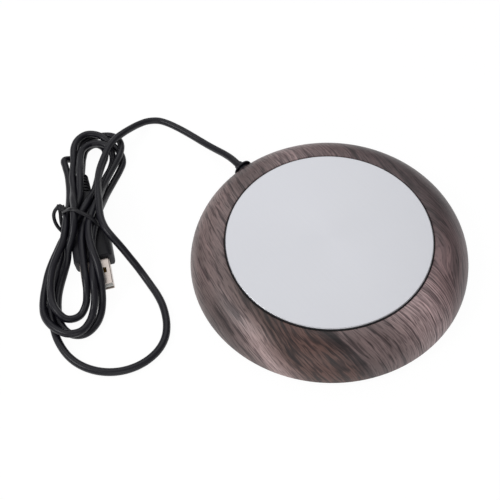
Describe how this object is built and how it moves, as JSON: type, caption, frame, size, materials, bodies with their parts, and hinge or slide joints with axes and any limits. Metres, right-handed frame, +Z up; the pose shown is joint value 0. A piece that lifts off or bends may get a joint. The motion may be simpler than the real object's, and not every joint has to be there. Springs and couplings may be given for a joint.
{
  "type": "electric mug warmer",
  "caption": "Round electric mug warmer with a dark wood-grain moulded ring, a brushed aluminium warming plate and a tied black USB lead",
  "frame": {"origin": "Centre of the round warmer on the surface that its four feet stand on.", "axes": "+Z up, +Y towards the side that the lead leaves from, +X to the right of it."},
  "size_m": [0.1603, 0.1745, 0.0155],
  "materials": {
    "wood_print_abs": "dark walnut grain printed on a moulded ring, satin",
    "brushed_aluminium": "finely brushed",
    "seal_silicone": "matte",
    "polyimide_film": "satin, translucent amber",
    "heater_foil": "etched foil",
    "mica": "flaky, satin",
    "ceramic_felt": "matte fibre",
    "zinc_plated_steel": "bright zinc",
    "phenolic": "satin",
    "fuse_resin": "satin",
    "wire_red": "satin",
    "wire_white": "satin",
    "wire_black": "satin",
    "black_abs": "fine spark-eroded texture",
    "foot_rubber": "matte",
    "cord_pvc": "satin",
    "plug_pvc": "fine matte",
    "nickel_shell": "nickel plate",
    "plug_core": "satin",
    "contact_gold": "gold flash",
    "tie_pvc": "satin"
  },
  "bodies": {
    "root": {"housing_ring": "wood_print_abs", "heating_plate": "brushed_aluminium", "plate_seal": "seal_silicone", "heater_film": "polyimide_film", "heater_track": "heater_foil", "mica_disc": "mica", "insulation_pad": "ceramic_felt", "clamp_disc": "zinc_plated_steel", "weld_studs": "zinc_plated_steel", "stud_nuts": "zinc_plated_steel", "thermostat": "phenolic", "thermal_fuse": "fuse_resin", "fuse_strap": "zinc_plated_steel", "lead_live": "wire_red", "lead_fuse": "wire_red", "lead_link": "wire_white", "lead_neutral": "wire_black", "cord_clamp": "black_abs", "clamp_screws": "zinc_plated_steel", "base_cover": "black_abs", "base_screws": "zinc_plated_steel", "foot_1": "foot_rubber", "foot_2": "foot_rubber", "foot_3": "foot_rubber", "foot_4": "foot_rubber", "cord_grommet": "cord_pvc", "cord_inner": "cord_pvc", "cord": "cord_pvc", "cord_hank": "cord_pvc", "plug_grip": "plug_pvc", "plug_shell": "nickel_shell", "plug_insulator": "plug_core", "plug_contacts": "contact_gold", "twist_tie": "tie_pvc"}
  },
  "joints": []
}
